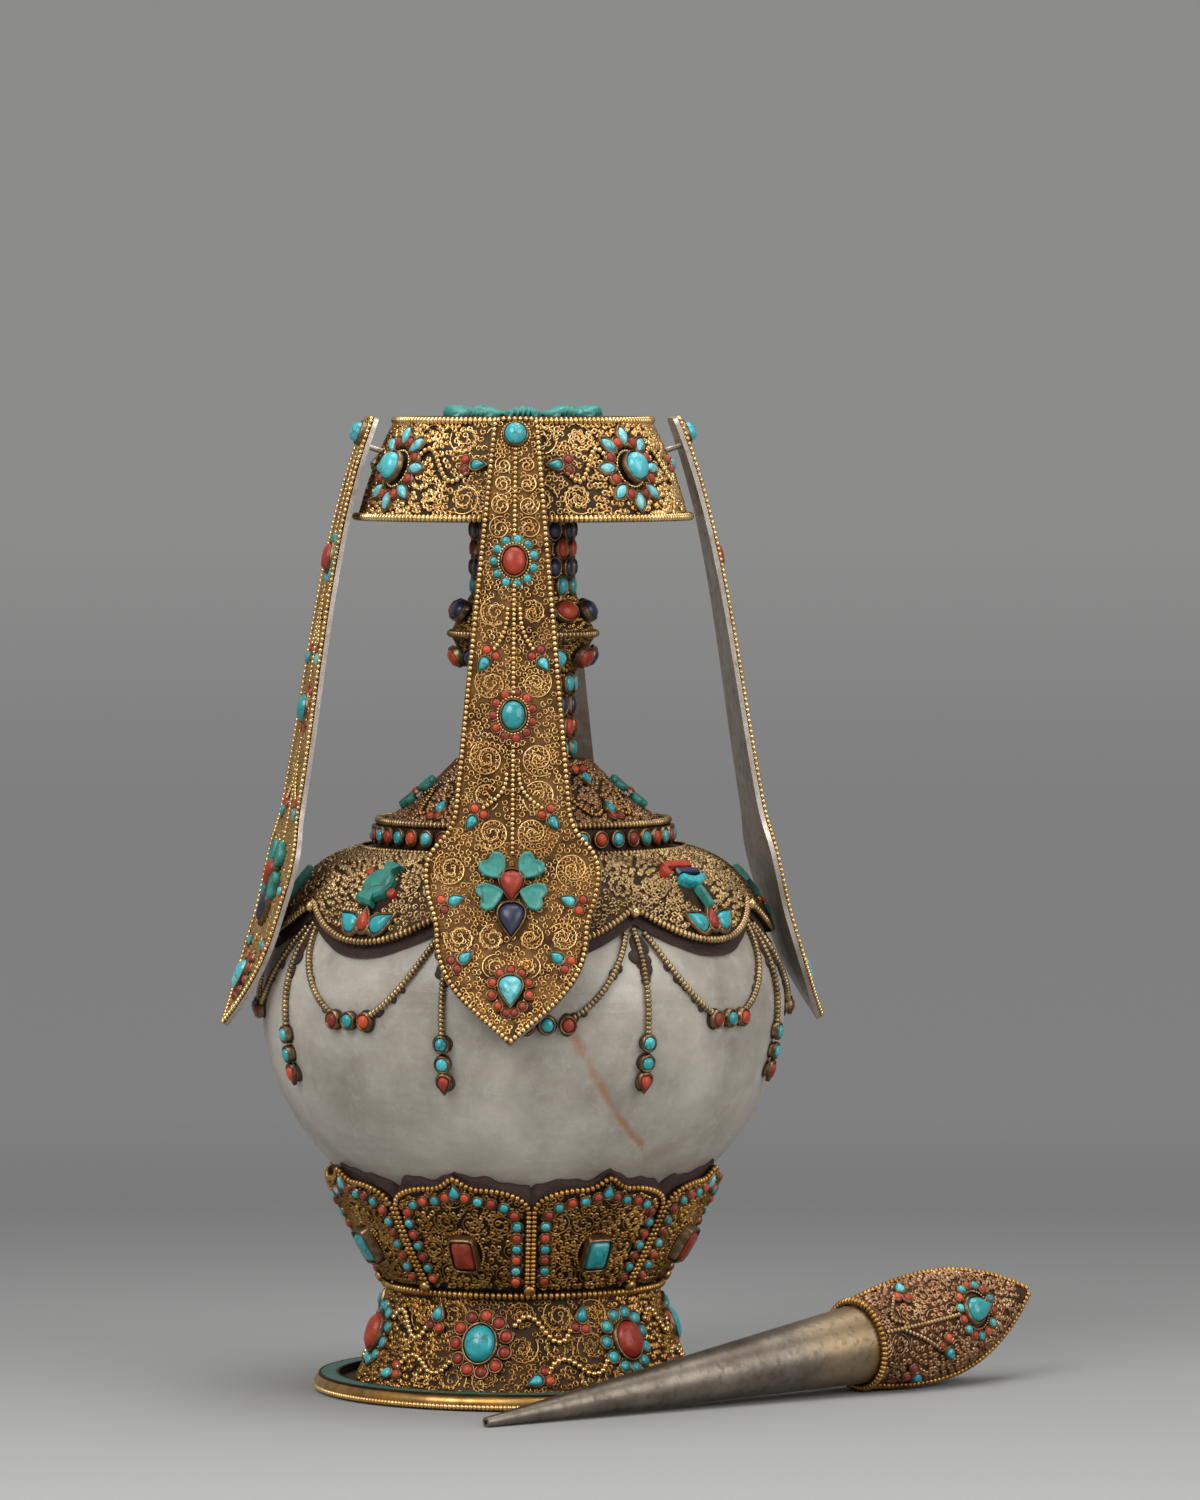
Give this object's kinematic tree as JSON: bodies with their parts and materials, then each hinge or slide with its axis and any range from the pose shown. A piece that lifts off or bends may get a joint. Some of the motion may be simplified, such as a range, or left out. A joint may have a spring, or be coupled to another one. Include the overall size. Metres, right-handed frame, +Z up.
{
  "type": "bumpa vase",
  "caption": "Round-bellied ritual water vase: crystal belly in gilt filigree mounts set with stones, swinging lappets hung from the crown and a loose sprinkler stopper lying beside it.",
  "frame": {"origin": "centre of the base plate's underside, on the floor", "axes": "+Z up the vase's axis, -Y towards the front lappet and the viewer, +X to the viewer's right"},
  "size_m": [0.2106, 0.1652, 0.2571],
  "materials": {
    "bright_gilt": "bright gilt filigree, worn, dark in the recesses",
    "dark_gilt": "dulled brown gilt filigree, black in the recesses",
    "turquoise": "polished turquoise with dark matrix",
    "coral": "polished red coral, pitted",
    "lapis": "dark satin lapis",
    "lac": "dark matt lac",
    "quartz": "polished milky rock crystal with veils and a rust-stained crack",
    "silver": "tarnished silver"
  },
  "bodies": {
    "vase": {"base_plate": "dark_gilt", "base_rim_band": "dark_gilt", "base_inlay_ring": "turquoise", "foot_skirt": "dark_gilt", "base_bezels": "dark_gilt", "base_coral_stones": "coral", "base_turquoise_stones": "turquoise", "waist_wire": "dark_gilt", "petal_cup": "dark_gilt", "petal_border_wires": "dark_gilt", "cup_lac_bedding": "lac", "crystal_bowl": "quartz", "shoulder_lac_bedding": "lac", "shoulder_dome": "dark_gilt", "shoulder_edge_wire": "dark_gilt", "shoulder_turquoise_symbols": "turquoise", "shoulder_coral_drops": "coral", "garland_strands": "dark_gilt", "garland_cups": "dark_gilt", "garland_turquoise_stones": "turquoise", "garland_coral_stones": "coral", "stone_band": "dark_gilt", "tier_coral_stones": "coral", "tier_turquoise_stones": "turquoise", "tier_bell": "dark_gilt", "neck_ring_wires": "dark_gilt", "neck_liner": "dark_gilt", "lower_neck_sleeve": "dark_gilt", "knop": "dark_gilt", "upper_bezels": "bright_gilt", "upper_neck_sleeve": "dark_gilt", "neck_coral_stones": "coral", "neck_turquoise_stones": "turquoise", "neck_lapis_stones": "lapis", "crown_band": "bright_gilt", "crown_deck": "bright_gilt", "crown_floor": "silver", "crown_wires": "bright_gilt", "crown_turquoise_stones": "turquoise", "mouth_petals": "turquoise"},
    "front_lappet": {"front_lappet_plate": "bright_gilt", "front_lappet_turquoise": "turquoise", "front_lappet_coral": "coral", "front_lappet_lapis": "lapis"},
    "right_lappet": {"right_lappet_plate": "bright_gilt", "right_lappet_turquoise": "turquoise", "right_lappet_coral": "coral", "right_lappet_lapis": "lapis"},
    "back_lappet": {"back_lappet_plate": "bright_gilt", "back_lappet_turquoise": "turquoise", "back_lappet_coral": "coral", "back_lappet_lapis": "lapis"},
    "left_lappet": {"left_lappet_plate": "bright_gilt", "left_lappet_turquoise": "turquoise", "left_lappet_coral": "coral", "left_lappet_lapis": "lapis"},
    "stopper": {"spout_tube": "silver", "spout_collar_wire": "bright_gilt", "bud_shell": "bright_gilt", "bud_turquoise_stones": "turquoise"}
  },
  "joints": [
    {"name": "front_lappet_swing", "type": "hinge", "parent": "vase", "child": "front_lappet", "pos_m": [-0.00146, -0.0417, 0.2459], "axis": [-0.033, -0.9456, 0.3237], "range_deg": [-12, 12]},
    {"name": "right_lappet_swing", "type": "hinge", "parent": "vase", "child": "right_lappet", "pos_m": [0.04131, 0.00581, 0.2459], "axis": [0.9369, 0.1317, 0.3237], "range_deg": [-12, 12]},
    {"name": "back_lappet_swing", "type": "hinge", "parent": "vase", "child": "back_lappet", "pos_m": [0.00291, 0.04162, 0.2459], "axis": [0.066, 0.9438, 0.3237], "range_deg": [-12, 12]},
    {"name": "left_lappet_swing", "type": "hinge", "parent": "vase", "child": "left_lappet", "pos_m": [-0.04109, -0.00724, 0.2459], "axis": [-0.9318, -0.1643, 0.3237], "range_deg": [-12, 12]},
    {"name": "stopper_lift", "type": "slide", "parent": "vase", "child": "stopper", "axis": [0.309, -0.393, 0.866], "range_m": [0, 0.25]}
  ]
}
